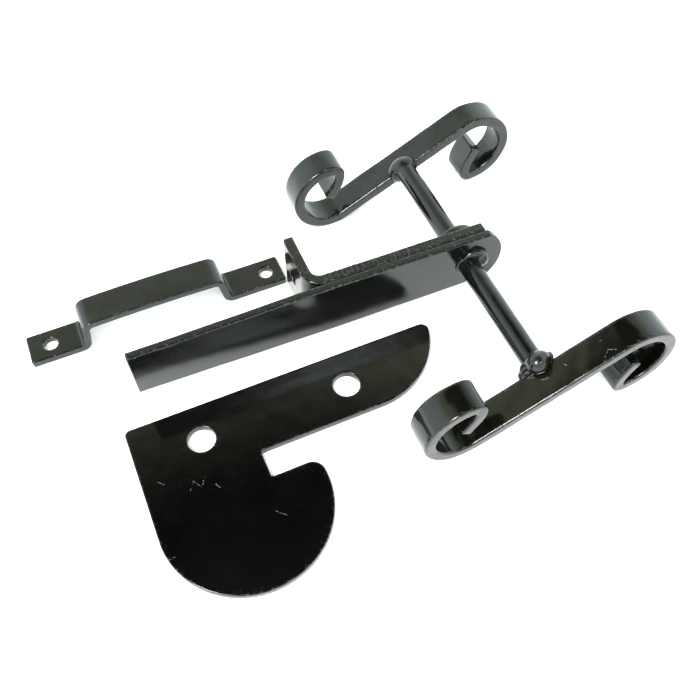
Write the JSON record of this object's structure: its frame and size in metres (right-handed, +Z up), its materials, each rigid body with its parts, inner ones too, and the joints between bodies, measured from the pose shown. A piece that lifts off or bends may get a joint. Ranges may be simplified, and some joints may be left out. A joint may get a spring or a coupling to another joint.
{
  "type": "gate lift latch",
  "caption": "Gate lift latch kit: flat bar on a spindle with a scroll handle each side, turning in an angle bracket, with a loose guide strap and a hooked keep plate.",
  "frame": {"origin": "middle of the kit's footprint, on the surface that the pieces lie on", "axes": "+X along the latch bar from its free end to the spindle, +Y along the spindle from the front handle to the back handle, +Z up"},
  "size_m": [0.2226, 0.1566, 0.0347],
  "materials": {
    "black_enamel": "gloss black enamel on steel, with light grey reflections and fine scratches",
    "brown_black_enamel": "gloss black enamel, thin and brownish over rough strip",
    "weld_enamel": "gloss enamel over lumpy weld metal"
  },
  "bodies": {
    "bracket": {"pivot_bracket": "black_enamel"},
    "latch": {"latch_bar": "black_enamel", "spindle": "black_enamel", "front_scroll_handle": "brown_black_enamel", "back_scroll_handle": "black_enamel", "retaining_collar": "black_enamel", "weld_bar": "weld_enamel", "weld_collar": "weld_enamel", "weld_front_handle": "weld_enamel", "weld_back_handle": "weld_enamel"},
    "guide": {"guide_strap": "black_enamel"},
    "keep": {"keep_plate": "black_enamel"}
  },
  "joints": [
    {"name": "latch_lift", "type": "hinge", "parent": "bracket", "child": "latch", "pos_m": [0.05969, 0.0136, 0.0203], "axis": [0, 1, 0], "range_deg": [0, 32]},
    {"name": "guide_lift_off", "type": "slide", "parent": "bracket", "child": "guide", "axis": [0, 0, 1], "range_m": [0, 0.06]},
    {"name": "keep_lift_off", "type": "slide", "parent": "bracket", "child": "keep", "axis": [0, 0, 1], "range_m": [0, 0.06]}
  ]
}
